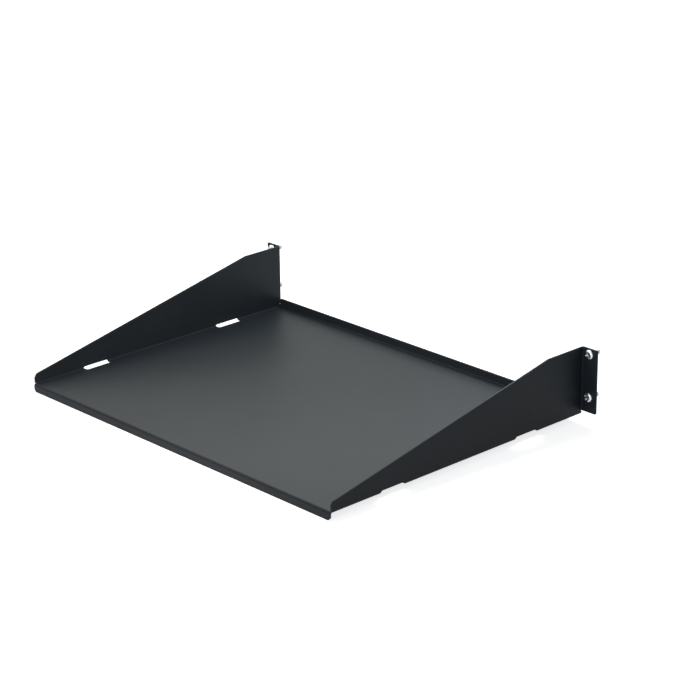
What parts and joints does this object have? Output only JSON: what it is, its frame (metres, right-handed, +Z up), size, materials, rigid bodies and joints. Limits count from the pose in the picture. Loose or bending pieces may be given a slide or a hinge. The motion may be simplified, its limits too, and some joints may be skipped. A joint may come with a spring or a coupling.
{
  "type": "cantilever rack shelf",
  "caption": "Two unit cantilever shelf for a nineteen inch rack, folded from one steel sheet, with tapering sides, front and rear lips, strap slots and bolt ears.",
  "frame": {"origin": "centre of the four ear screws, on the plane of the backs of the ears", "axes": "+X to the right across the shelf, +Y to the rear, out of the backs of the ears, +Z up"},
  "size_m": [0.4826, 0.3508, 0.0781],
  "materials": {
    "powder_coat": "black powder coat, fine texture, satin",
    "zinc": "bright zinc plate"
  },
  "bodies": {
    "root": {"shelf": "powder_coat", "mounting_screws": "zinc"}
  },
  "joints": []
}
